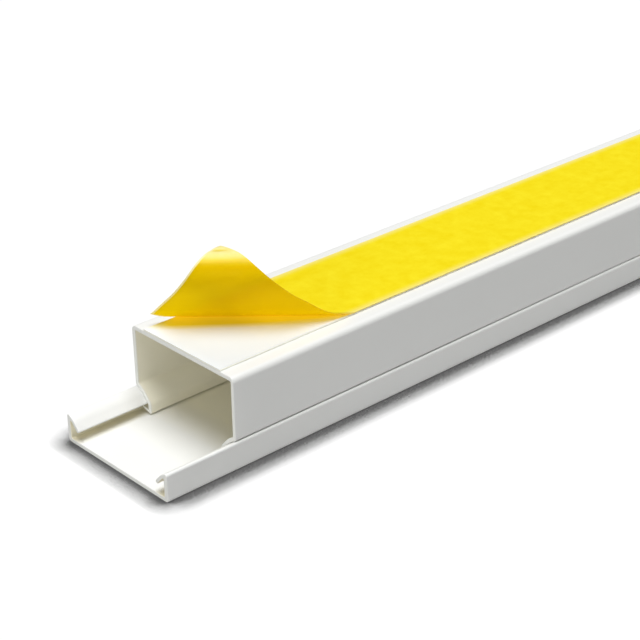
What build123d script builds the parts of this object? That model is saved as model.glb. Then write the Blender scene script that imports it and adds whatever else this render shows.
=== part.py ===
from build123d import *
import math
import os

# Self-adhesive clip-on cord cover raceway, 40 x 25 mm, lying on its cover.
# X runs along the stock, Y across it, Z up. The origin is at the middle of
# the part's footprint, on the flat face of the cover. All sizes are in mm.

# Overall section and length
trunk_width = 40.0
trunk_depth = 25.0
stock_length = 1000.0
cover_slide_out = 21.0        # how far the cover stands out at the near end

# Walls
plate_wall = 1.2              # the cover's plate and the base's back plate
side_wall = 1.3               # the cover's upright walls
base_side_wall = 1.1          # the base's upright walls
hook_wall = 1.0               # the cover's snap hooks
rail_wall = 1.05              # the base's rails, which the hooks grip
lip_wall = 0.9                # the lip that turns out from each rail

# Arch of the snap hooks. From the top of the side a gently falling crown
# runs in, then a steeper flank falls to the tip. The rails follow the arch.
seam_height = 8.1             # where the crown meets the outer side
crown_angle = 30.0            # the crown's fall from level, in degrees
flank_angle = 48.0            # the flank's fall from level, in degrees
crown_under_run = 0.6         # level run of the crown's underside, from the side wall in
hook_reach = 4.7              # from the outer side to the hook's tip

# Clearances between the two extrusions
cover_step = 0.25             # how far the cover's sides stand out past the base's
arch_gap = 0.45               # between the hook's outer face and the rail
tip_gap = 0.3                 # between a hook's tip and the rail's web
floor_gap = 0.2               # between a rail's foot and the cover's plate

# Lips of the rails
lip_reach = 2.3               # from the rail's web out to the lip's edge
lip_rise = 0.8                # how far a lip climbs from its foot to its edge

# Roundings of the two sections
cover_corner_radius = 0.9     # long outer corners of the cover's plate
seam_edge_radius = 0.5        # the cover's edge along the seam
shoulder_radius = 1.0         # the base's edge along the seam
crown_radius = 1.5            # the hook's outer face, where crown meets flank
crown_under_radius = 0.5      # the same bend on the hook's underside
tip_radius = 0.3
hook_root_radius = 0.2        # inside, where the hook leaves the side wall
floor_corner_radius = 0.35    # inside corners of both plates
base_corner_radius = 1.5      # long outer corners of the back
web_bend_radius = 0.8         # the groove's bend from flank to web
lip_root_radius = 0.2
lip_edge_radius = 0.25
foot_radius = 0.5             # outside of the bend from web to lip
rail_root_radius = 0.6        # inside, where the rail leaves the side wall

# Adhesive tape and its liner
tape_width = 30.0
tape_thickness = 0.5
liner_thickness = 0.15

# Peeled end of the liner. Its front edge is cut a little out of square. The
# fold line crosses the stock at an angle, and the paper rises and curls over.
front_set_back = 2.4          # from the base's end to the liner's corner on the +Y side
front_overhang = 1.2          # how far its corner on the -Y side was cut past that end
peel_start = 28.0             # from the base's end to the fold line, on the middle line
peel_angle = 42.9             # the fold line's angle to the length, in degrees
curl_bends = [                # length and turn in degrees, from the fold line outwards
    (4.5, 38.0),
    (4.5, 24.0),
    (4.5, 0.0),
    (4.5, 19.5),
    (4.5, 46.0),
    (4.5, 42.5),
    (4.5, 26.5),
]
corner_blunting = 0.5         # taken off the free corner's point
facet_length = 1.5            # longest flat piece of the curl's model

# Places worked out from the sizes above
overall_length = stock_length + cover_slide_out
cover_start = -overall_length / 2
base_start = cover_start + cover_slide_out
half_width = trunk_width / 2
wall_inside = half_width - side_wall
base_side = half_width - cover_step
base_wall_inside = base_side - base_side_wall
tape_top = trunk_depth + tape_thickness
crown_slope = math.tan(math.radians(crown_angle))
flank_slope = math.tan(math.radians(flank_angle))
# how far in the arch's bend moves for each millimetre that the arch is lifted
bend_shift = (math.hypot(1, flank_slope) - math.hypot(1, crown_slope)) / (flank_slope - crown_slope)
crown_reach = side_wall + crown_under_run + hook_wall * bend_shift


def extruded(right_half, start):
    """Symmetric section carried along the stock.

    right_half lists (across, height, corner radius) from one plate's outside
    round to its inside, and the left half mirrors it."""
    left_half = [(-y, z, radius) for y, z, radius in reversed(right_half)]
    corners = right_half + left_half
    outline = FilletPolyline(
        *[(0, y, z) for y, z, _ in corners],
        radius=[radius for _, _, radius in corners],
        close=True,
    )
    section = make_face(outline)
    return extrude(section, amount=stock_length, dir=(1, 0, 0)).moved(Location((start, 0, 0)))


def crown_height(y, lift):
    """Height of the arch's crown line, moved out square to itself by lift."""
    return seam_height - crown_slope * (half_width - y) + lift * math.hypot(1, crown_slope)


def flank_height(y, lift):
    """Height of the arch's flank line, moved out square to itself by lift."""
    below_seam = crown_slope * crown_reach + flank_slope * (half_width - crown_reach - y)
    return seam_height - below_seam + lift * math.hypot(1, flank_slope)


def arch_bend(lift):
    """Corner where the crown and flank lines meet when both are moved by lift."""
    y = half_width - crown_reach - lift * bend_shift
    return y, crown_height(y, lift)


def cover_solid():
    """Flat plate with two low walls, each turned in as an arched snap hook."""
    tip = half_width - hook_reach
    # the tip is cut square to the flank
    tip_under = tip + hook_wall * flank_slope / math.hypot(1, flank_slope)
    right_half = [
        (half_width, 0.0, cover_corner_radius),
        (half_width, seam_height, seam_edge_radius),
        (*arch_bend(0.0), crown_radius),
        (tip, flank_height(tip, 0.0), tip_radius),
        (tip_under, flank_height(tip_under, -hook_wall), tip_radius),
        (*arch_bend(-hook_wall), crown_under_radius),
        (wall_inside, crown_height(wall_inside, -hook_wall), hook_root_radius),
        (wall_inside, plate_wall, floor_corner_radius),
    ]
    return extruded(right_half, cover_start)


def base_solid():
    """Back plate with two tall walls, each jogged in as a hollow snap rail."""
    outer = arch_gap
    inner = arch_gap + rail_wall
    web = half_width - hook_reach - tip_gap
    web_inside = web - rail_wall
    foot = plate_wall + floor_gap
    lip_edge = web + lip_reach
    right_half = [
        (base_side, trunk_depth, base_corner_radius),
        (base_side, crown_height(base_side, outer), shoulder_radius),
        (*arch_bend(outer), crown_radius + arch_gap),
        (web, flank_height(web, outer), web_bend_radius),
        (web, foot + lip_wall, lip_root_radius),
        (lip_edge, foot + lip_wall + lip_rise, lip_edge_radius),
        (lip_edge, foot + lip_rise, lip_edge_radius),
        (web_inside, foot, foot_radius),
        (web_inside, flank_height(web_inside, inner), web_bend_radius + rail_wall),
        (*arch_bend(inner), crown_radius + arch_gap + rail_wall),
        (base_wall_inside, crown_height(base_wall_inside, inner), rail_root_radius),
        (base_wall_inside, trunk_depth - plate_wall, floor_corner_radius),
    ]
    return extruded(right_half, base_start)


def tape_solid():
    """Foam tape down the middle of the back, flush with the base's ends."""
    tape = Box(
        stock_length, tape_width, tape_thickness, align=(Align.MIN, Align.CENTER, Align.MIN)
    )
    return tape.moved(Location((base_start, 0, trunk_depth)))


def curl_at(distance):
    """Turned angle, run and rise of the curl at a distance from the fold line."""
    turned = run = rise = 0.0
    for length, turn_degrees in curl_bends:
        part = min(distance, length)
        half_turn = math.radians(turn_degrees) * part / length / 2
        chord = part * math.sin(half_turn) / half_turn if half_turn else part
        run += chord * math.cos(turned + half_turn)
        rise += chord * math.sin(turned + half_turn)
        turned += 2 * half_turn
        distance -= part
    return turned, run, rise


def liner_solid():
    """Paper strip: flat on the tape, with its near end peeled and curled."""
    angle = math.radians(peel_angle)
    half = tape_width / 2
    flat_end = base_start + stock_length
    middle = Vector(base_start + peel_start, 0, tape_top)
    along = Vector(math.cos(angle), -math.sin(angle), 0)
    away = Vector(-math.sin(angle), -math.cos(angle), 0)
    reach = half / math.sin(angle)
    far_foot = middle - along * reach
    near_foot = middle + along * reach
    outline = Polyline(
        far_foot,
        (flat_end, half, tape_top),
        (flat_end, -half, tape_top),
        near_foot,
        close=True,
    )
    flat = extrude(make_face(outline), amount=liner_thickness, dir=(0, 0, 1))

    # the paper's corners, as distance from the fold line and place along it
    def fold_place(x, y):
        offset = Vector(x, y, tape_top) - middle
        return offset.dot(away), offset.dot(along)

    far_corner = fold_place(base_start + front_set_back, half)
    near_corner = fold_place(base_start - front_overhang, -half)

    def edge_place(first, second, distance):
        share = (distance - first[0]) / (second[0] - first[0])
        return first[1] + share * (second[1] - first[1])

    def cut(distance):
        if distance < far_corner[0]:
            start = edge_place((0.0, -reach), far_corner, distance)
        else:
            start = edge_place(far_corner, near_corner, distance)
        end = edge_place((0.0, reach), near_corner, distance)
        turned, run, rise = curl_at(distance)
        under = middle + away * run + Vector(0, 0, rise)
        outward = Vector(0, 0, math.cos(turned)) - away * math.sin(turned)
        over = under + outward * liner_thickness
        return make_face(
            Polyline(
                under + along * start,
                under + along * end,
                over + along * end,
                over + along * start,
                close=True,
            )
        )

    # one loft up to the far corner, and one from it to the blunted near corner
    def curled(first, last):
        count = math.ceil((last - first) / facet_length)
        return loft([cut(first + (last - first) * k / count) for k in range(count + 1)], ruled=True)

    lower = curled(0.0, far_corner[0])
    upper = curled(far_corner[0], near_corner[0] - corner_blunting)
    return flat + lower + upper


def write(solid, name):
    solid.label = name
    export_step(solid, f"parts/{name}.step")
    print(name, round(solid.volume, 2), len(solid.solids()))


os.makedirs("parts", exist_ok=True)
write(base_solid(), "base_channel")
write(cover_solid(), "cover")
write(tape_solid(), "adhesive_tape")
write(liner_solid(), "release_liner")
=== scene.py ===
# Cord cover raceway: a self-adhesive channel on its slide-on cover, with the liner
# peeled up at one end. Lengths are in metres, in the frame's own axes.
import math

import bpy
import numpy as np
from mathutils import Matrix, Vector


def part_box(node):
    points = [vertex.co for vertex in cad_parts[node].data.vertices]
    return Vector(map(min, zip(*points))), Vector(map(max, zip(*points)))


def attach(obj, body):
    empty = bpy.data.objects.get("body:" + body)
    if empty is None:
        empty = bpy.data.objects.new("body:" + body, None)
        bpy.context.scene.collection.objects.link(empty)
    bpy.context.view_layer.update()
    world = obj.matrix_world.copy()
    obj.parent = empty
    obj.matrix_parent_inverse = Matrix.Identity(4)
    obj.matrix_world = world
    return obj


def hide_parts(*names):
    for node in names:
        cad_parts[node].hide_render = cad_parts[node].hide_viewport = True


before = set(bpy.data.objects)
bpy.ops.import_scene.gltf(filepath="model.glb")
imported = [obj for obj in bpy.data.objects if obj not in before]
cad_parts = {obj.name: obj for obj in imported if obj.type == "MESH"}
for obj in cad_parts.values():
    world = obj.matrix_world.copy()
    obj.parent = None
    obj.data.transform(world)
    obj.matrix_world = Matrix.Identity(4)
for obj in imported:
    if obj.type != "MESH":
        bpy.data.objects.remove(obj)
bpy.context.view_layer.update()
mm = 0.001
print("frame loaded:", sorted(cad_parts))

channelLow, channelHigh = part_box("base_channel")
coverLow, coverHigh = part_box("cover")
tapeLow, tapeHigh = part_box("adhesive_tape")


class Wire:
    # One shader socket. Arithmetic and comparisons on wires add Math nodes.
    def __init__(self, shader, socket):
        self.shader = shader
        self.socket = socket

    def maths(self, operation, first, second=0.0):
        return self.shader.add("ShaderNodeMath", {"operation": operation}, {0: first, 1: second})

    def __add__(self, other):
        return self.maths("ADD", self, other)

    def __radd__(self, other):
        return self.maths("ADD", other, self)

    def __sub__(self, other):
        return self.maths("SUBTRACT", self, other)

    def __rsub__(self, other):
        return self.maths("SUBTRACT", other, self)

    def __mul__(self, other):
        return self.maths("MULTIPLY", self, other)

    def __rmul__(self, other):
        return self.maths("MULTIPLY", other, self)

    def __truediv__(self, other):
        return self.maths("DIVIDE", self, other)

    def __rtruediv__(self, other):
        return self.maths("DIVIDE", other, self)

    def __gt__(self, other):
        return self.maths("GREATER_THAN", self, other)

    def __lt__(self, other):
        return self.maths("LESS_THAN", self, other)

    def __abs__(self):
        return self.maths("ABSOLUTE", self)

    def lesser(self, other):
        return self.maths("MINIMUM", self, other)

    def greater(self, other):
        return self.maths("MAXIMUM", self, other)


class Shader:
    # A node material that is built from Python expressions.
    def __init__(self, name):
        self.material = bpy.data.materials.new(name)
        self.material.use_nodes = True
        self.tree = self.material.node_tree
        self.tree.nodes.clear()

    def node(self, kind, settings=None, sockets=None):
        node = self.tree.nodes.new(kind)
        for key, value in (settings or {}).items():
            if key == "stops":
                while len(node.color_ramp.elements) < len(value):
                    node.color_ramp.elements.new(0.5)
                for element, (place, colour) in zip(node.color_ramp.elements, value):
                    element.position = place
                    element.color = (*colour, 1.0)
            else:
                setattr(node, key, value)
        for key, value in (sockets or {}).items():
            if isinstance(value, Wire):
                self.tree.links.new(value.socket, node.inputs[key])
            elif node.inputs[key].type == "RGBA":
                node.inputs[key].default_value = (*value, 1.0)
            else:
                node.inputs[key].default_value = value
        return node

    def add(self, kind, settings=None, sockets=None, out=0):
        return Wire(self, self.node(kind, settings, sockets).outputs[out])

    def place(self):
        return self.add("ShaderNodeTexCoord", out="Object")

    def parts(self, vector):
        outputs = self.node("ShaderNodeSeparateXYZ", None, {0: vector}).outputs
        return [Wire(self, output) for output in outputs]

    def stretched(self, vector, scale, turn=(0, 0, 0)):
        # Turns the pattern first and stretches it along its own axes after that
        sockets = {"Vector": vector, "Scale": [1 / s for s in scale], "Rotation": turn}
        return self.add("ShaderNodeMapping", {"vector_type": "TEXTURE"}, sockets)

    def noise(self, vector, scale=1.0, detail=3.0, rough=0.5):
        sockets = {"Vector": vector, "Scale": scale, "Detail": detail, "Roughness": rough}
        return self.add("ShaderNodeTexNoise", None, sockets)

    def ramp(self, factor, stops):
        return self.add("ShaderNodeValToRGB", {"stops": stops}, {"Fac": factor})

    def blend(self, factor, first, second):
        return self.add("ShaderNodeMix", {"data_type": "RGBA"}, {0: factor, 6: first, 7: second}, 2)

    def bump(self, height, strength, distance):
        sockets = {"Height": height, "Strength": strength, "Distance": distance}
        return self.add("ShaderNodeBump", None, sockets)

    def principled(self, sockets):
        return self.add("ShaderNodeBsdfPrincipled", None, sockets)

    def finish(self, shading):
        output = self.node("ShaderNodeOutputMaterial")
        self.tree.links.new(shading.socket, output.inputs["Surface"])
        return self.material


# Camera, floor and lights
camera = {
    "place": (-701.49 * mm, -284.81 * mm, 208.57 * mm),
    "azimuth": 42.11,          # degrees from +Y towards +X
    "down": 26.46,             # degrees below the horizon
    "roll": -0.89,
    "lens": 92.91,             # focal length and sensor width in millimetres
    "sensor": 36.0,
    "clip": (0.01, 20.0),      # the nearest and farthest that it sees
}

studio = {
    "floorSize": 12.0,
    "floorColour": (0.47, 0.47, 0.47),
    "floorGlow": 0.50,         # for camera rays only, so that the open floor is white
    "contactReachX": 5.5 * mm, # the contact shadow fades out this far from the object
    "contactReachY": 7.5 * mm,
    "contactSamples": 8,
    # The floor's brightness against the share of the view along X, and along Y, that is open
    "contactX": [
        (0.52, 0.11),
        (0.66, 0.14),
        (0.76, 0.27),
        (0.84, 0.50),
        (0.90, 0.78),
        (0.96, 0.96),
        (1.00, 1.00),
    ],
    "contactY": [
        (0.50, 0.12),
        (0.51, 0.24),
        (0.54, 0.34),
        (0.58, 0.50),
        (0.65, 0.65),
        (0.82, 0.92),
        (0.95, 1.00),
    ],
    "worldLight": 0.15,
    "keyStrength": 2.90,
    "keyAngle": 44.0,          # the key light's width seen from the object, in degrees
    "keyFrom": (0.0, -0.05, 1.0),
    "cardPlace": (-2.80, -0.84, 0.68),
    "cardAim": (-0.45, 0.0, 0.02),
    "cardSize": (1.2, 0.5),
    "cardPower": 17.0,
}


def makeCamera():
    # The look is a unit vector from azimuth and down. Level and upright are square to it,
    # and the picture's own right and up are those two turned about it by roll.
    az, down, roll = (math.radians(camera[k]) for k in ("azimuth", "down", "roll"))
    look = Vector((math.sin(az) * math.cos(down), math.cos(az) * math.cos(down), -math.sin(down)))
    level = look.cross(Vector((0, 0, 1))).normalized()
    upright = level.cross(look)
    right = level * math.cos(roll) + upright * math.sin(roll)
    up = upright * math.cos(roll) - level * math.sin(roll)
    data = bpy.data.cameras.new("camera")
    data.lens = camera["lens"]
    data.sensor_width = camera["sensor"]
    data.clip_start, data.clip_end = camera["clip"]
    thing = bpy.data.objects.new("camera", data)
    bpy.context.scene.collection.objects.link(thing)
    turn = Matrix((right, up, -look)).transposed().to_4x4()
    thing.matrix_world = Matrix.Translation(camera["place"]) @ turn
    bpy.context.scene.camera = thing


def placeLamp(lamp, place, toward):
    # Turns the lamp's own -Z along the line from its place
    thing = bpy.data.objects.new(lamp.name, lamp)
    thing.location = place
    thing.rotation_euler = Vector(toward).to_track_quat("-Z", "Y").to_euler()
    bpy.context.scene.collection.objects.link(thing)


def makeFloor():
    # White to the camera, with a contact shadow. Each point of the floor looks along X and
    # along Y, both ways, for what stands within reach, and takes the darkest of the four.
    size = studio["floorSize"] / 2
    mesh = bpy.data.meshes.new("floor")
    corners = [(-size, -size, 0), (size, -size, 0), (size, size, 0), (-size, size, 0)]
    mesh.from_pydata(corners, [], [(0, 1, 2, 3)])
    floor = bpy.data.objects.new("floor", mesh)
    bpy.context.scene.collection.objects.link(floor)
    paint = Shader("paleFloor")
    seen = paint.add("ShaderNodeLightPath", out="Is Camera Ray")
    light = 1.0
    looks = [((1, 0, 0), "X"), ((-1, 0, 0), "X"), ((0, 1, 0), "Y"), ((0, -1, 0), "Y")]
    for toward, axis in looks:
        aim = paint.add("ShaderNodeCombineXYZ", None, dict(enumerate(toward)))
        sockets = {"Distance": studio["contactReach" + axis], "Normal": aim}
        settings = {"samples": studio["contactSamples"]}
        openShare = paint.add("ShaderNodeAmbientOcclusion", settings, sockets, "AO")
        grey = [(place, (bright, bright, bright)) for place, bright in studio["contact" + axis]]
        light = paint.ramp(openShare, grey).lesser(light)
    colour = paint.blend(seen * (1 - light), studio["floorColour"], (0.0, 0.0, 0.0))
    matt = paint.add("ShaderNodeBsdfDiffuse", None, {"Color": colour})
    strength = seen * light * studio["floorGlow"]
    glow = paint.add("ShaderNodeEmission", None, {"Strength": strength})
    mesh.materials.append(paint.finish(paint.add("ShaderNodeAddShader", None, {0: matt, 1: glow})))


def makeLights():
    world = bpy.data.worlds.new("studio")
    world.use_nodes = True
    tree = world.node_tree
    background = tree.nodes["Background"]
    path = tree.nodes.new("ShaderNodeLightPath")
    strength = tree.nodes.new("ShaderNodeMath")
    strength.operation = "MULTIPLY_ADD"      # worldLight, but 1 for camera rays
    strength.inputs[1].default_value = 1.0 - studio["worldLight"]
    strength.inputs[2].default_value = studio["worldLight"]
    background.inputs["Color"].default_value = (1.0, 1.0, 1.0, 1.0)
    tree.links.new(path.outputs["Is Camera Ray"], strength.inputs[0])
    tree.links.new(strength.outputs[0], background.inputs["Strength"])
    bpy.context.scene.world = world

    key = bpy.data.lights.new("keyLight", "SUN")
    key.energy = studio["keyStrength"]
    key.angle = math.radians(studio["keyAngle"])
    placeLamp(key, studio["keyFrom"], -Vector(studio["keyFrom"]))

    card = bpy.data.lights.new("frontCard", "AREA")
    card.shape = "RECTANGLE"
    card.size, card.size_y = studio["cardSize"]
    card.energy = studio["cardPower"]
    placeLamp(card, studio["cardPlace"], Vector(studio["cardAim"]) - Vector(studio["cardPlace"]))
    bpy.context.scene.view_settings.view_transform = "Standard"


makeCamera()
makeFloor()
makeLights()
print("camera, floor and lights made")

# Sections of the two extrusions
section = {
    "halfWidth": coverHigh[1],
    "channelSide": channelHigh[1],
    "depth": channelHigh[2],
    "plateWall": 1.2 * mm,
    "coverWall": 1.3 * mm,
    "channelWall": 1.1 * mm,
    "hookWall": 1.0 * mm,
    "railWall": 1.05 * mm,
    "lipWall": 0.9 * mm,
    "seamHeight": 8.1 * mm,    # where the hook's crown meets the outer side
    "crownAngle": 30.0,        # falls from level, in degrees
    "flankAngle": 48.0,
    "crownUnderRun": 0.6 * mm,
    "hookReach": 4.7 * mm,
    "archGap": 0.10 * mm,      # as seen; the solids keep a wider gap for their clearance
    "tipGap": 0.3 * mm,
    "floorGap": 0.2 * mm,
    "lipReach": 2.3 * mm,
    "lipRise": 0.8 * mm,
    # Roundings of the two outlines
    "crownRadius": 6.0 * mm,   # the hook's outer face, where crown meets flank
    "crownUnderRadius": 0.5 * mm,
    "coverCornerRadius": 0.9 * mm,
    "seamEdgeRadius": 0.6 * mm,
    "shoulderRadius": 0.9 * mm,            # the channel's edge along the seam
    "tipRadius": 0.3 * mm,
    "hookRootRadius": 0.2 * mm,
    "floorCornerRadius": 0.35 * mm,
    "backCornerRadius": 1.5 * mm,
    "webBendRadius": 0.8 * mm,
    "lipRootRadius": 0.2 * mm,
    "lipEdgeRadius": 0.25 * mm,
    "footRadius": 0.5 * mm,
    "railRootRadius": 0.6 * mm,
    "cornerSteps": 8,
    "spacing": 0.9 * mm,       # longest step along a flat wall of the section
    "guard": 0.04 * mm,        # keeps a flat wall's shading flat up to its rounding
}
sharpAngle = math.radians(50)  # edges that turn more than this are drawn sharp
crownSlope = math.tan(math.radians(section["crownAngle"]))
flankSlope = math.tan(math.radians(section["flankAngle"]))
# how far in the arch's bend moves for each metre that the arch is lifted
bendShift = (math.hypot(1, flankSlope) - math.hypot(1, crownSlope)) / (flankSlope - crownSlope)
crownReach = section["coverWall"] + section["crownUnderRun"] + section["hookWall"] * bendShift
coverInside = section["halfWidth"] - section["coverWall"]
channelInside = section["channelSide"] - section["channelWall"]

extrusion = {
    "stations": 165,
    "wavesUp": 1.0,            # share of the waves that is left in a flat face lying level
    "endRound": 0.20 * mm,     # the broken edge of the saw-cut ends
    "endSteps": 4,
    "footFade": 2.0 * mm,      # height over which the waves grow from the floor up
    "waves": [(0.29, 0.024 * mm, 2), (0.13, 0.012 * mm, 3), (0.051, 0.004 * mm, 5)],
    "seeds": {"channel": 3, "slideCover": 5},
}


def crownHeight(y, lift):
    # Height of the hook's crown line, moved out square to itself by lift
    fall = crownSlope * (section["halfWidth"] - y)
    return section["seamHeight"] - fall + lift * math.hypot(1, crownSlope)


def flankHeight(y, lift):
    # Height of the steeper flank line, moved out square to itself by lift
    fall = crownSlope * crownReach + flankSlope * (section["halfWidth"] - crownReach - y)
    return section["seamHeight"] - fall + lift * math.hypot(1, flankSlope)


def archBend(lift):
    # Where the crown and flank lines meet when both are moved by lift
    y = section["halfWidth"] - crownReach - lift * bendShift
    return y, crownHeight(y, lift)


def roundedLoop(corners, radii):
    # A closed outline with each corner replaced by an arc. The arc starts and ends
    # radius / tan(half the corner's angle) from the corner, with a guard point just
    # outside each end, and all corners are worked out together.
    corner = np.asarray(corners, float)
    radius = np.asarray(radii, float)[:, None]
    back = np.roll(corner, 1, axis=0) - corner
    on = np.roll(corner, -1, axis=0) - corner
    back /= np.linalg.norm(back, axis=1, keepdims=True)
    on /= np.linalg.norm(on, axis=1, keepdims=True)
    middle = back + on
    middle /= np.linalg.norm(middle, axis=1, keepdims=True)
    cosHalf = np.sum(middle * on, axis=1, keepdims=True)
    sinHalf = np.sqrt(1 - cosHalf**2)
    centre = corner + middle * radius / sinHalf
    reach = radius * cosHalf / sinHalf
    first = corner + back * reach
    last = corner + on * reach
    share = np.linspace(0, 1, section["cornerSteps"] + 1)[None, :, None]
    turn = np.pi - 2 * np.arcsin(sinHalf)[:, :, None]
    armA = (first - centre)[:, None, :]
    armB = (last - centre)[:, None, :]
    arms = np.sin((1 - share) * turn) * armA + np.sin(share * turn) * armB
    arc = centre[:, None, :] + arms / np.sin(turn)
    lead = (first + back * section["guard"])[:, None, :]
    tail = (last + on * section["guard"])[:, None, :]
    return np.concatenate([lead, arc, tail], axis=1).reshape(-1, 2)


def subdivided(loop, spacing):
    # The same outline with points added so that no step is longer than spacing
    closed = np.vstack([loop, loop[:1]])
    steps = np.linalg.norm(np.diff(closed, axis=0), axis=1)
    counts = np.maximum(1, np.ceil(steps / spacing)).astype(int)
    starts = np.repeat(np.arange(len(loop)), counts)
    within = np.arange(len(starts)) - np.repeat(np.cumsum(counts) - counts, counts)
    share = (within / np.repeat(counts, counts))[:, None]
    return closed[starts] * (1 - share) + closed[starts + 1] * share


def mirroredLoop(rightHalf):
    # rightHalf lists (across, height, corner radius) from one plate's outside round to
    # its inside, and the left half mirrors it. The loop comes out anticlockwise.
    right = np.asarray(rightHalf, float)
    corners = np.vstack([right, right[::-1] * [-1, 1, 1]])
    loop = subdivided(roundedLoop(corners[:, :2], corners[:, 2]), section["spacing"])
    after = np.roll(loop, -1, axis=0)
    area = np.sum(loop[:, 0] * after[:, 1] - after[:, 0] * loop[:, 1])
    return loop if area > 0 else loop[::-1]


def channelLoop():
    # Round the right half from the back: the tall wall, the crown and flank of the rail's
    # outer face, its web and its lip, and back up along the inner face
    s = section
    side = s["channelSide"]
    outer = s["archGap"]
    inner = s["archGap"] + s["railWall"]
    web = s["halfWidth"] - s["hookReach"] - s["tipGap"]
    webInside = web - s["railWall"]
    foot = s["plateWall"] + s["floorGap"]
    lipEdge = web + s["lipReach"]
    return mirroredLoop(
        [
            (side, s["depth"], s["backCornerRadius"]),
            (side, crownHeight(side, outer), s["shoulderRadius"]),
            (*archBend(outer), s["crownRadius"] + outer),
            (web, flankHeight(web, outer), s["webBendRadius"]),
            (web, foot + s["lipWall"], s["lipRootRadius"]),
            (lipEdge, foot + s["lipWall"] + s["lipRise"], s["lipEdgeRadius"]),
            (lipEdge, foot + s["lipRise"], s["lipEdgeRadius"]),
            (webInside, foot, s["footRadius"]),
            (webInside, flankHeight(webInside, inner), s["webBendRadius"] + s["railWall"]),
            (*archBend(inner), s["crownRadius"] + inner),
            (channelInside, crownHeight(channelInside, inner), s["railRootRadius"]),
            (channelInside, s["depth"] - s["plateWall"], s["floorCornerRadius"]),
        ]
    )


def coverLoop():
    # Round the right half from the plate: the low wall, the crown and flank of the hook's
    # outer face, its square tip, and back along its underside
    s = section
    half = s["halfWidth"]
    tip = half - s["hookReach"]
    tipUnder = tip + s["hookWall"] * flankSlope / math.hypot(1, flankSlope)
    under = -s["hookWall"]
    return mirroredLoop(
        [
            (half, 0.0, s["coverCornerRadius"]),
            (half, s["seamHeight"], s["seamEdgeRadius"]),
            (*archBend(0.0), s["crownRadius"]),
            (tip, flankHeight(tip, 0.0), s["tipRadius"]),
            (tipUnder, flankHeight(tipUnder, under), s["tipRadius"]),
            (*archBend(under), s["crownUnderRadius"]),
            (coverInside, crownHeight(coverInside, under), s["hookRootRadius"]),
            (coverInside, s["plateWall"], s["floorCornerRadius"]),
        ]
    )


def meshPiece(name, points, quads, caps=()):
    # points is (n, 3), quads (m, 4) and caps a list of whole outlines
    mesh = bpy.data.meshes.new(name)
    counts = np.concatenate([np.full(len(quads), 4), [len(c) for c in caps]]).astype(np.int32)
    corners = np.concatenate([np.ravel(quads)] + [np.asarray(c) for c in caps]).astype(np.int32)
    mesh.vertices.add(len(points))
    mesh.vertices.foreach_set("co", np.ravel(points).astype(np.float32))
    mesh.loops.add(len(corners))
    mesh.loops.foreach_set("vertex_index", corners)
    mesh.polygons.add(len(counts))
    starts = np.concatenate([[0], np.cumsum(counts)[:-1]]).astype(np.int32)
    mesh.polygons.foreach_set("loop_start", starts)
    mesh.polygons.foreach_set("loop_total", counts)
    mesh.update(calc_edges=True)
    mesh.validate()
    mesh.polygons.foreach_set("use_smooth", np.full(len(counts), True))
    mesh.set_sharp_from_angle(angle=sharpAngle)
    piece = bpy.data.objects.new(name, mesh)
    bpy.context.scene.collection.objects.link(piece)
    return piece


def waviness(stations, count, waves, seed):
    # How far the outline stands proud: the sum over the waves of
    # size * sin(2 pi (x / length + turns * share of the way round + a drawn phase))
    draw = np.random.default_rng(seed)
    wayRound = np.linspace(0, 1, count, endpoint=False)[None, :]
    total = np.zeros((len(stations), count))
    for length, size, turns in waves:
        phase = stations[:, None] / length + turns * wayRound + draw.random()
        total += size * np.sin(2 * np.pi * phase)
    return total


def extrudedPiece(name, loop, low, high, style, seed):
    # The outline carried along X and pushed along its own normals by slow waves, which
    # fade towards the floor. Near each end it shrinks along those normals in a quarter
    # round, and an upright cap closes it.
    ahead = np.roll(loop, -1, axis=0) - np.roll(loop, 1, axis=0)
    outward = np.stack([ahead[:, 1], -ahead[:, 0]], axis=1)
    outward /= np.linalg.norm(outward, axis=1, keepdims=True)
    angle = np.linspace(0, np.pi / 2, style["endSteps"] + 1)
    inset = style["endRound"] * (1 - np.sin(angle))
    setIn = style["endRound"] * (1 - np.cos(angle))
    start = low[0] + setIn
    finish = (high[0] - setIn)[::-1]
    middle = np.linspace(start[-1], finish[0], style["stations"])[1:-1]
    stations = np.concatenate([start, middle, finish])
    insets = np.concatenate([inset, np.zeros(len(middle)), inset[::-1]])[:, None]
    waves = waviness(stations, len(loop), style["waves"], seed)[:, :, None]
    upShare = style["wavesUp"] * np.clip(loop[:, 1] / extrusion["footFade"], 0, 1)
    lean = np.stack([np.ones(len(loop)), upShare], axis=1)
    outline = loop[None] + outward[None] * (waves * lean[None] - insets[:, :, None])
    along = np.broadcast_to(stations[:, None], outline.shape[:2])
    points = np.stack([along, outline[:, :, 0], outline[:, :, 1]], axis=2).reshape(-1, 3)
    rows, count = len(stations), len(loop)
    row, column = np.meshgrid(np.arange(rows - 1), np.arange(count), indexing="ij")
    here = (row * count + column).ravel()
    beside = (row * count + (column + 1) % count).ravel()
    quads = np.stack([here, beside, beside + count, here + count], axis=1)
    ring = np.arange(count)
    return meshPiece(name, points, quads, [ring[::-1], ring + (rows - 1) * count])


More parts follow.
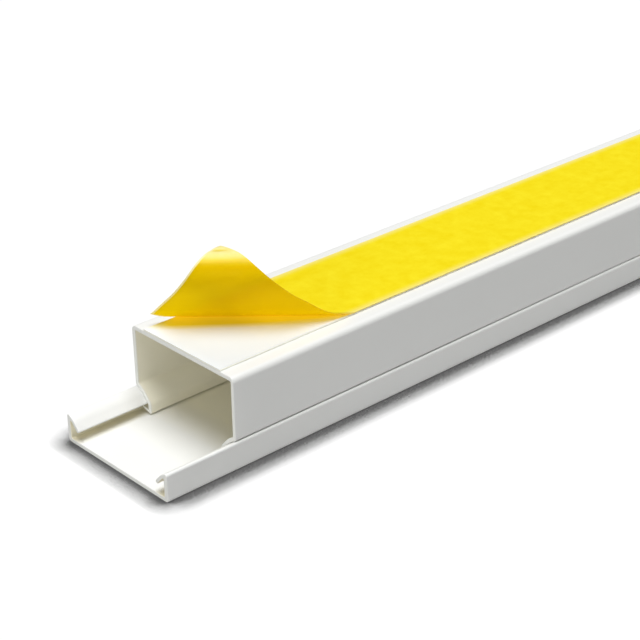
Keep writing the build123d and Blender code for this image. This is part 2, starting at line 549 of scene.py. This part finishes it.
# Satin rigid PVC
pvc = {
    "channelColour": [(0.3, (0.870, 0.876, 0.852)), (0.7, (0.885, 0.890, 0.868))],
    "coverColour": [(0.3, (0.895, 0.900, 0.876)), (0.7, (0.910, 0.914, 0.892))],
    "paintedDuctLight": (0.99, 0.955, 0.79),     # painted warm, brighter bounce light inside the duct, where the duct's own light is all it gets
    "channelFade": 0.5 * mm,   # length over which the painted warm light grows from the channel's end in
    "coverFade": 12.0 * mm,
    "hookShadeColour": (0.93, 0.88, 0.68),    # painted warm shade under the hooks
    "hollowFrom": 14.5 * mm,   # from the middle line to where the hollow starts
    "hollowFade": 3.0 * mm,
    "cutColour": (0.90, 0.905, 0.855),
    "hair": 0.02 * mm,         # a face this close to an end is the saw cut
    "margin": 0.3 * mm,        # how far the masks reach into the walls
    "ior": 1.50,
    "roughness": 0.30,
    "lineRoughness": 0.14,     # added along the die lines
    "cutRoughness": 0.25,      # added on the saw cut
    "clouds": 16.0,
    "dieLines": (2.5, 750.0, 750.0),       # long along X and about a millimetre apart
    "sawMarks": (1.0, 220.0, 3600.0),
    "sawTurn": (math.radians(24), 0, 0),
    "sawHeight": 2.5,          # how much taller than the die lines the saw marks are
    "reliefStrength": 0.25,
    "reliefHeight": 0.02 * mm,
}


def pvcFinish(name, white, low, high, fade):
    # Faint die lines along the length, a clouded white, and a matt saw-cut face where x
    # is within a hair of either end. Inside the duct the white takes a painted warm,
    # brighter bounce light, from the channel's end in, which reaches its full strength over
    # the length fade. The hollow under the hooks takes a painted warm shade: |y| past
    # hollowFrom, and below the middle of the hook's crown and flank.
    paint = Shader(name)
    place = paint.place()
    x, y, z = paint.parts(place)
    across = abs(y)
    cutEnd = (x < low[0] + pvc["hair"]) + (x > high[0] - pvc["hair"])
    lines = paint.noise(paint.stretched(place, pvc["dieLines"]))
    saw = paint.noise(paint.stretched(place, pvc["sawMarks"], pvc["sawTurn"]))
    colour = paint.ramp(paint.noise(place, pvc["clouds"], detail=2.0), white)
    # Painted warm, brighter bounce light inside the duct, from the channel's end in
    underBack = z < section["depth"] - section["plateWall"] + pvc["margin"]
    duct = (across < channelInside + pvc["margin"]) * underBack
    deep = ((x - channelLow[0]) / fade).lesser(1.0).greater(0.0)
    colour = paint.blend(duct * deep, colour, pvc["paintedDuctLight"])
    # Painted warm shade in the hollow under the hooks
    midWall = -0.5 * section["hookWall"]
    crown = across * crownSlope + crownHeight(0, midWall)
    flank = across * flankSlope + flankHeight(0, midWall)
    underHook = (across < coverInside + pvc["margin"]) * (z < crown.lesser(flank))
    hollow = ((across - pvc["hollowFrom"]) / pvc["hollowFade"]).lesser(1.0).greater(0.0)
    colour = paint.blend(hollow * underHook, colour, pvc["hookShadeColour"])
    colour = paint.blend(cutEnd, colour, pvc["cutColour"])
    relief = lines * (1 - cutEnd) + pvc["sawHeight"] * saw * cutEnd
    rough = pvc["roughness"] + pvc["lineRoughness"] * lines + pvc["cutRoughness"] * cutEnd
    shading = paint.principled(
        {
            "Base Color": colour,
            "Roughness": rough,
            "IOR": pvc["ior"],
            "Normal": paint.bump(relief, pvc["reliefStrength"], pvc["reliefHeight"]),
        }
    )
    return paint.finish(shading)


seeds = extrusion["seeds"]
channel = extrudedPiece("channel", channelLoop(), channelLow, channelHigh, extrusion, seeds["channel"])
channelPvc = pvcFinish(
    "channelPvc", pvc["channelColour"], channelLow, channelHigh, pvc["channelFade"]
)
channel.data.materials.append(channelPvc)
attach(channel, "base")
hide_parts("base_channel")

slideCover = extrudedPiece("slideCover", coverLoop(), coverLow, coverHigh, extrusion, seeds["slideCover"])
coverPvc = pvcFinish("coverPvc", pvc["coverColour"], coverLow, coverHigh, pvc["coverFade"])
slideCover.data.materials.append(coverPvc)
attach(slideCover, "cover")
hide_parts("cover")
print("extrusions made")

# Paper liner. The tape's finish reads its fold, so its settings stand before the tape's.
liner = {
    "thickness": 0.15 * mm,
    "setBack": 2.4 * mm,       # of its front corner at +Y from the channel's end
    "overhang": 1.2 * mm,      # of its front corner at -Y, past that end before it was peeled
    "peelStart": 28.0 * mm,    # from the channel's end to the fold, on the middle line
    "peelAngle": 42.9,         # the fold's angle to the length, in degrees
    "bendLength": 4.5 * mm,
    "bendTurns": [38.0, 24.0, 0.0, 19.5, 46.0, 42.5, 26.5],        # in degrees, from the fold out
    "softening": 3.0 * mm,     # how gradually one bend passes into the next
    "tableStep": 0.02 * mm,
    "tablePast": 4.0 * mm,     # how far the curl is worked out past its last bend
    "lift": 0.01 * mm,         # keeps the paper's underside just clear of the tape
    "buckles": [(13.0 * mm, 0.10 * mm, 0.2), (6.1 * mm, 0.04 * mm, 0.6)],   # length, size, phase
    "buckleStart": 9.0 * mm,   # distance from the fold at which they are full
    "letGo": 2.0 * mm,         # distance from the fold at which the paper is clear of the tape
    "creaseAt": 27.7 * mm,     # distance from the fold of a small crease by the free corner
    "creaseAlong": 11.3 * mm,  # how far from the middle of the fold the crease is
    "creaseLength": 2.0 * mm,
    "creaseWidth": 0.40 * mm,
    "creaseDepth": 0.30 * mm,
    "creaseShadeColour": (0.78, 0.58, 0.003),
    "tipFrom": 22.3 * mm,      # distance from the fold at which the painted highlight on the curl's end starts
    "tipFull": 26.2 * mm,
    "tipHighlightColour": (0.985, 0.955, 0.42),
    "tipThrough": 0.25,        # share of the passing light that is left there and on the rim
    "tipSteepness": 2.2,       # the passing light falls off, and the painted highlight comes in, this fast
    "tipHighlightFrom": 0.48,         # share of the way to tipFull at which the painted highlight comes in
    "creamLeast": 0.35,
    "ior": 1.18,
    "topRoughness": 0.62,
    "releaseRoughness": 0.38,
    "releaseCoat": 0.10,
    "coatRoughness": 0.30,
    "gleamCoat": 0.25,         # added where the release side gleams
    "glossFrom": 105.0,        # the release side gleams where it has turned from here, in degrees
    "glossFull": 140.0,
    "streaks": (30.0, 330.0, 1.0),         # along the fold, and square to it
    "fibres": (900.0, 2600.0, 1.0),
    "fibreStrength": 0.12,
    "fibreHeight": 0.02 * mm,
    "mottle": (230.0, 5.0, 0.65),          # scale, detail and roughness
    "fineStep": 0.35 * mm,
    "fineLength": 62.0 * mm,
    "coarseRows": 140,
    "rim": 0.45 * mm,          # pale band along the release side's cut edges, a painted highlight where the paper's edge catches the light
    "rimRagged": 0.2 * mm,
    "paleReach": 2.8 * mm,     # the top pales towards the long edges over this width
    "topColour": [(0.3, (0.925, 0.735, 0.002)), (0.7, (0.99, 0.84, 0.018))],
    "paleColour": (0.965, 0.86, 0.26),
    "releaseColour": [(0.3, (0.90, 0.64, 0.001)), (0.7, (0.98, 0.78, 0.003))],
    "rimHighlightColour": (0.98, 0.93, 0.50),
    "throughColour": (0.99, 0.825, 0.008),
    "through": 0.80,           # share of the light that passes each face where it is lifted
    "straight": 0.60,          # share of that which goes straight on
    "stuckThrough": 0.12,      # share that passes where the paper lies on the tape
}

# Foam tape with its adhesive face up
tape = {
    "stations": 420,
    "wavesUp": 0.0,
    "endRound": 0.04 * mm,
    "endSteps": 2,
    "waves": [(0.037, 0.030 * mm, 1), (0.0113, 0.022 * mm, 2), (0.0041, 0.012 * mm, 3)],
    "edgeRound": 0.15 * mm,
    "spacing": 1.1 * mm,
    "edgeSlope": 0.30 * mm,    # how far in the crushed foam edge leans at its top
    "paintedGoldColour": (0.98, 0.86, 0.08),
    "paintedGoldReach": 10.0 * mm,    # how far from the fold the painted gold light reaches, standing in for light passed through the liner
    "paintedGoldRise": 14.0 * mm,     # place along the fold at which it has half that reach
    "paintedGoldSoft": 1.3 * mm,      # width of the gold's soft border
    "paintedGoldEnd": 6.0 * mm,       # the gold fades in over this length from the tape's end
    "paintedLiftColour": (0.97, 0.98, 0.99),     # painted light just past the gold, lifting the shade that the curled liner casts on the tack
    "paintedLiftReach": 8.0 * mm,
    "tackColour": [(0.3, (0.825, 0.855, 0.865)), (0.7, (0.84, 0.87, 0.88))],
    "foamColour": (0.95, 0.94, 0.83),
    "faceDepth": 0.08 * mm,    # the tacky film on top of the foam
    "ior": 1.45,
    "foamRoughness": 0.75,
    "tackRoughness": 0.25,
    "cells": 4200.0,
    "ripples": (60.0, 220.0, 220.0),       # slow along X
    "clouds": 90.0,
    "rippleHeight": 0.4,       # against the cells' height of 1
    "reliefStrength": 0.3,
    "reliefHeight": 0.05 * mm,
    "seed": 11,
}


def tapeLoop():
    # A thin rounded bar with leaning edges, anticlockwise
    low, high = tapeLow, tapeHigh
    lean = tape["edgeSlope"]
    bottom = [(low[1], low[2]), (high[1], low[2])]
    top = [(high[1] - lean, high[2]), (low[1] + lean, high[2])]
    return subdivided(roundedLoop(bottom + top, [tape["edgeRound"]] * 4), tape["spacing"])


def tapeFinish():
    # Glossy tacky face, faintly rippled, over dull white foam with open cells. Under the
    # curled liner the face takes a painted gold light, standing in for light passed through
    # the liner, out to a reach that grows along the fold as the full reach * way /
    # (way + the rise), with way measured from the fold's near end, and painted light whitens
    # the face about that border, lifting the shade that the liner casts there.
    paint = Shader("foamTape")
    place = paint.place()
    x, y, height = paint.parts(place)
    face = height > tapeHigh[2] - tape["faceDepth"]
    angle = math.radians(liner["peelAngle"])
    offX = x - (tapeLow[0] + liner["peelStart"])
    distance = -math.sin(angle) * offX - math.cos(angle) * y
    foldPlace = math.cos(angle) * offX - math.sin(angle) * y
    way = (tapeHigh[1] / math.sin(angle) - foldPlace).greater(0.0)
    reach = tape["paintedGoldReach"] * (1 - tape["paintedGoldRise"] / (way + tape["paintedGoldRise"]))
    # Painted gold light under the curled liner, standing in for the light that passes through it
    gold = (0.5 - 0.5 * (distance - reach) / tape["paintedGoldSoft"]).lesser(1.0).greater(0.0)
    gold = gold * ((x - tapeLow[0]) / tape["paintedGoldEnd"]).lesser(1.0)
    # Painted light about the gold's border, lifting the liner's shade there
    paintedLift = (1 - abs(distance - reach) / tape["paintedLiftReach"]).greater(0.0)
    tack = paint.ramp(paint.noise(place, tape["clouds"]), tape["tackColour"])
    tack = paint.blend(paintedLift, tack, tape["paintedLiftColour"])
    tack = paint.blend(gold, tack, tape["paintedGoldColour"])
    cells = paint.noise(place, tape["cells"], detail=2.0)
    ripple = paint.noise(paint.stretched(place, tape["ripples"]))
    relief = cells * (1 - face) + tape["rippleHeight"] * ripple * face
    smoother = tape["foamRoughness"] - tape["tackRoughness"]
    shading = paint.principled(
        {
            "Base Color": paint.blend(face, tape["foamColour"], tack),
            "Roughness": tape["foamRoughness"] - smoother * face,
            "IOR": tape["ior"],
            "Normal": paint.bump(relief, tape["reliefStrength"], tape["reliefHeight"]),
        }
    )
    return paint.finish(shading)


foamTape = extrudedPiece("foamTape", tapeLoop(), tapeLow, tapeHigh, tape, tape["seed"])
foamTape.data.materials.append(tapeFinish())
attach(foamTape, "base")
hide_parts("adhesive_tape")
print("tape made")


def runningSum(values, step):
    # Sum of the strips between neighbouring values, each their mean times the step
    return np.concatenate([[0], np.cumsum((values[1:] + values[:-1]) / 2 * step)])


def curlTable():
    # Turned angle, run and rise against the distance from the fold. The bend changes in
    # steps, smoothed by a window, the angle is its running sum, and run and rise are the
    # running sums of the angle's cosine and sine.
    step = liner["tableStep"]
    bends = np.radians(liner["bendTurns"]) / liner["bendLength"]
    distance = np.arange(0, liner["bendLength"] * len(bends) + liner["tablePast"], step)
    index = np.minimum((distance / liner["bendLength"]).astype(int), len(bends) - 1)
    reach = int(liner["softening"] / step / 2)
    window = np.hanning(2 * reach + 1)
    bend = np.convolve(np.pad(bends[index], reach, mode="edge"), window / window.sum(), "valid")
    turned = runningSum(bend, step)
    return distance, turned, runningSum(np.cos(turned), step), runningSum(np.sin(turned), step)


def frontEdge(y):
    # The liner's front edge before peeling is a straight line a little out of square
    share = (y - tapeLow[1]) / (tapeHigh[1] - tapeLow[1])
    return tapeLow[0] - liner["overhang"] + share * (liner["overhang"] + liner["setBack"])


def linerPiece():
    # A grid over the flat strip, bent about the slanting fold: a point keeps its place
    # along the fold, its distance from the fold is laid out along the curl, and small
    # buckles, sine waves along the fold, push it along its normal. The crease is a dent
    # with the bell curve exp(-(distance / width)^2 - (place / length)^2). Attributes on
    # the points, 0 to 1 on the release side and then on the top, steer the finish.
    length = tapeHigh[0] - tapeLow[0]
    fine = np.arange(0, liner["fineLength"], liner["fineStep"]) / length
    share = np.concatenate([fine, np.linspace(liner["fineLength"] / length, 1, liner["coarseRows"])])
    width = tapeHigh[1] - tapeLow[1]
    y = np.linspace(tapeLow[1], tapeHigh[1], int(width / liner["fineStep"]) + 1)
    front = frontEdge(y)[None, :]
    gridX = front + share[:, None] * (tapeHigh[0] - front)
    gridY = np.broadcast_to(y[None, :], gridX.shape)
    angle = math.radians(liner["peelAngle"])
    along = np.array([math.cos(angle), -math.sin(angle)])
    away = np.array([-math.sin(angle), -math.cos(angle)])
    middleX = tapeLow[0] + liner["peelStart"]
    offX = gridX - middleX
    distance = offX * away[0] + gridY * away[1]
    place = offX * along[0] + gridY * along[1]
    table = curlTable()
    lifted = distance > 0
    turned = np.where(lifted, np.interp(distance, table[0], table[1]), 0.0)
    run = np.where(lifted, np.interp(distance, table[0], table[2]), distance)
    rise = np.where(lifted, np.interp(distance, table[0], table[3]), 0.0)
    fade = np.clip(distance / liner["buckleStart"], 0, 1) ** 2
    waves = [size * np.sin(2 * np.pi * (place / span + phase)) for span, size, phase in liner["buckles"]]
    across = (distance - liner["creaseAt"]) / liner["creaseWidth"]
    crease = np.exp(-(across**2) - ((place + liner["creaseAlong"]) / liner["creaseLength"]) ** 2)
    proud = fade * sum(waves) + liner["creaseDepth"] * crease
    outward = np.stack([-away[0] * np.sin(turned), -away[1] * np.sin(turned), np.cos(turned)], axis=2)
    bent = [middleX + place * along[0] + run * away[0], place * along[1] + run * away[1]]
    under = np.stack([*bent, tapeHigh[2] + rise], axis=2)
    under += outward * (proud + liner["lift"])[:, :, None]
    over = under + outward * liner["thickness"]
    rows, columns = gridX.shape
    size = rows * columns
    row, column = np.meshgrid(np.arange(rows - 1), np.arange(columns - 1), indexing="ij")
    here = (row * columns + column).ravel()
    down = np.stack([here, here + 1, here + columns + 1, here + columns], axis=1)
    border = np.concatenate(
        [
            np.arange(columns),
            np.arange(1, rows) * columns + columns - 1,
            (rows - 1) * columns + np.arange(columns - 2, -1, -1),
            np.arange(rows - 2, 0, -1) * columns,
        ]
    )
    ahead = np.roll(border, -1)
    rim = np.stack([ahead, border, border + size, ahead + size], axis=1)
    points = np.concatenate([under.reshape(-1, 3), over.reshape(-1, 3)])
    piece = meshPiece("peeledLiner", points, np.concatenate([down, down[:, ::-1] + size, rim]))
    glossFrom, glossFull = np.radians([liner["glossFrom"], liner["glossFull"]])
    none = np.zeros(gridX.shape)
    perPoint = {
        "releaseSide": (none + 1, none),
        "lifted": (distance / liner["letGo"],) * 2,
        "gleam": ((turned - glossFrom) / (glossFull - glossFrom), none),
        # tip steers the painted highlight on the curl's end
        "tip": ((distance - liner["tipFrom"]) / (liner["tipFull"] - liner["tipFrom"]), none),
        # crease steers the dent and the painted shade in it
        "crease": (crease, none),
    }
    for name, sides in perPoint.items():
        values = np.clip(np.concatenate([side.ravel() for side in sides]), 0, 1)
        layer = piece.data.attributes.new(name, "FLOAT", "POINT")
        layer.data.foreach_set("value", values.astype(np.float32))
    flat = np.stack([gridX.ravel() - tapeLow[0], gridY.ravel()], axis=1)
    flat = np.concatenate([flat, flat])
    corners = np.empty(len(piece.data.loops), dtype=np.int32)
    piece.data.loops.foreach_get("vertex_index", corners)
    uv = piece.data.uv_layers.new(name="flatPlace")
    uv.data.foreach_set("uv", flat[corners].ravel().astype(np.float32))
    return piece


def linerFinish():
    # Yellow siliconised paper: matt, clouded and bright outside, satin and golden with
    # faint streaks on the release side, which has a pale rim of painted highlight at its
    # front and far edges and a painted cream highlight at the curled tip, around a crease
    # darkened with painted shade. Light passes through the paper where it is lifted, and
    # less so at the tip and the rim.
    paint = Shader("linerPaper")
    place = paint.add("ShaderNodeUVMap", {"uv_map": "flatPlace"})
    x, y, _ = paint.parts(place)
    release, lifted, gleam, tip, crease = (
        paint.add("ShaderNodeAttribute", {"attribute_name": name}, None, "Fac")
        for name in ("releaseSide", "lifted", "gleam", "tip", "crease")
    )
    mottle = paint.noise(place, *liner["mottle"])
    fold = (0, 0, -math.radians(liner["peelAngle"]))
    streaks = paint.noise(paint.stretched(place, liner["streaks"], fold))
    fibres = paint.noise(paint.stretched(place, liner["fibres"]))
    halfWidth = tapeHigh[1]
    slant = (liner["overhang"] + liner["setBack"]) / (2 * halfWidth)
    frontGap = x + liner["overhang"] - (y + halfWidth) * slant
    edgeGap = (halfWidth - y).lesser(frontGap)
    rim = ((edgeGap + liner["rimRagged"] * (mottle - 0.5)) < liner["rim"]) * release
    pale = (1 - (halfWidth - abs(y)) / liner["paleReach"]).greater(0.0)
    top = paint.ramp(mottle, liner["topColour"])
    top = paint.blend(pale * pale, top, liner["paleColour"])
    gold = paint.ramp(streaks, liner["releaseColour"])
    # Painted cream highlight on the curled tip
    cream = ((tip - liner["tipHighlightFrom"]) * liner["tipSteepness"]).greater(0.0)
    gold = paint.blend(cream * (liner["creamLeast"] + mottle), gold, liner["tipHighlightColour"])
    # Painted shade in the crease
    gold = paint.blend(crease, gold, liner["creaseShadeColour"])
    # Painted highlight along the cut edges
    gold = paint.blend(rim, gold, liner["rimHighlightColour"])
    smoother = liner["topRoughness"] - liner["releaseRoughness"]
    paper = paint.principled(
        {
            "Base Color": paint.blend(release, top, gold),
            "Roughness": liner["topRoughness"] - smoother * release,
            "IOR": liner["ior"],
            "Coat Weight": liner["releaseCoat"] * release + liner["gleamCoat"] * gleam,
            "Coat Roughness": liner["coatRoughness"],
            "Normal": paint.bump(fibres, liner["fibreStrength"], liner["fibreHeight"]),
        }
    )
    spread = paint.add("ShaderNodeBsdfTranslucent", None, {"Color": liner["throughColour"]})
    straight = paint.add("ShaderNodeBsdfTransparent", None, {"Color": liner["throughColour"]})
    through = paint.add("ShaderNodeMixShader", None, {0: liner["straight"], 1: spread, 2: straight})
    share = liner["stuckThrough"] + (liner["through"] - liner["stuckThrough"]) * lifted
    held = (tip * liner["tipSteepness"]).lesser(1.0).greater(rim)
    share = share * (1 - (1 - liner["tipThrough"]) * held)
    mixed = paint.add("ShaderNodeMixShader", None, {0: share, 1: paper, 2: through})
    return paint.finish(mixed)


peeledLiner = linerPiece()
peeledLiner.data.materials.append(linerFinish())
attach(peeledLiner, "base")
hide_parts("release_liner")
linerLength = tapeHigh[0] - tapeLow[0] + (liner["overhang"] - liner["setBack"]) / 2
linerArea = linerLength * (tapeHigh[1] - tapeLow[1])
print("liner made")
